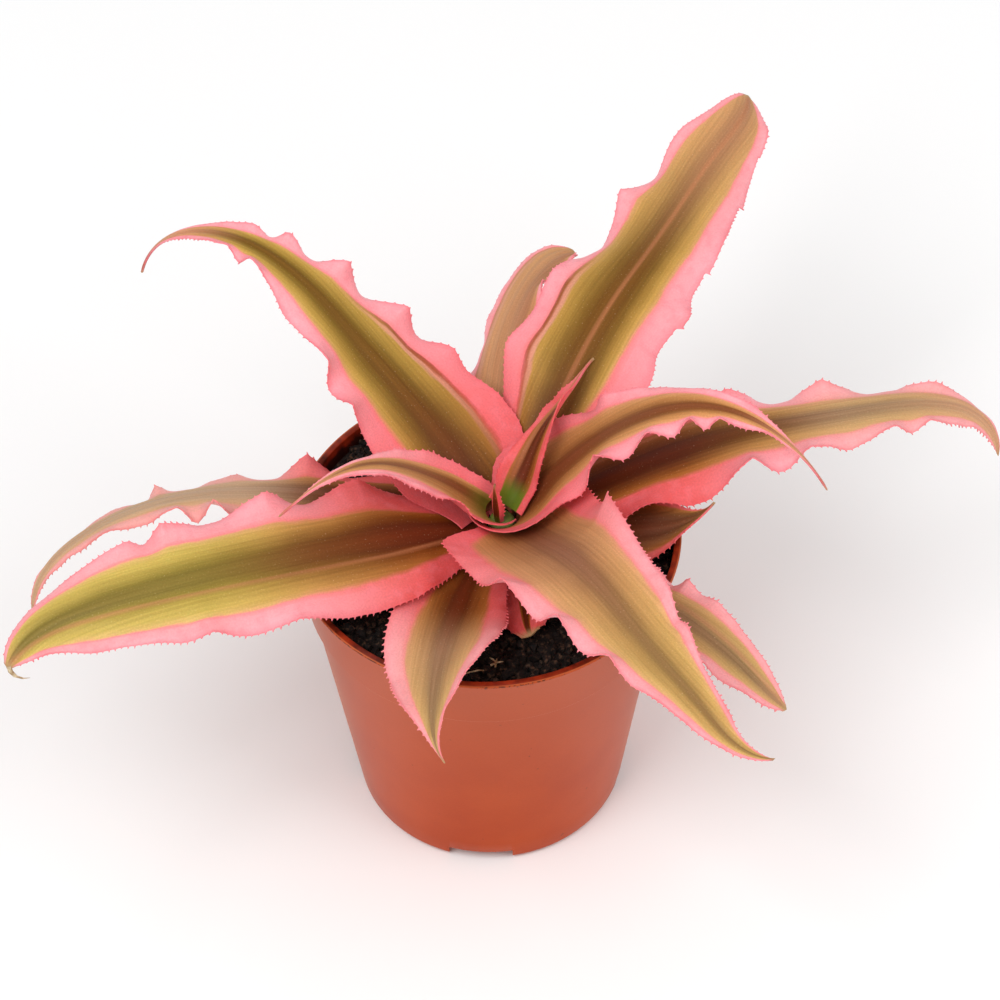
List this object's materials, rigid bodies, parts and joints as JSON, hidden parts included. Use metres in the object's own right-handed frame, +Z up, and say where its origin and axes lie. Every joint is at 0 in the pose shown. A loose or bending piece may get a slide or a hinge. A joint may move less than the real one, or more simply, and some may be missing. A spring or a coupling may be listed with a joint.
{
  "type": "earth star bromeliad in a nursery pot",
  "caption": "Rosette of long pink and olive leaves with waved, spined margins round a short stem in a tapered terracotta-coloured plastic nursery pot of peat.",
  "frame": {"origin": "centre of the pot's underside, on the surface that it stands on", "axes": "+Z up; +X towards the plant's right and +Y towards its back, as seen from the side with the short front leaf"},
  "size_m": [0.3068, 0.27, 0.169],
  "materials": {
    "pot_plastic": "satin",
    "peat": "matte",
    "stem": "matte",
    "leaf": "satin"
  },
  "bodies": {
    "root": {"pot": "pot_plastic", "peat": "peat", "stem": "stem", "leaf_left_low": "leaf", "leaf_front_right_low": "leaf", "leaf_back_right_low": "leaf", "leaf_back_short": "leaf", "leaf_front_short": "leaf", "leaf_right_lowest": "leaf", "leaf_right_long": "leaf", "leaf_back_right_long": "leaf", "leaf_left_broad": "leaf", "leaf_back_left_long": "leaf", "leaf_front_right_broad": "leaf", "leaf_right_arched": "leaf", "leaf_left_inner": "leaf", "leaf_heart_young": "leaf", "leaf_heart_smallest": "leaf"}
  },
  "joints": []
}
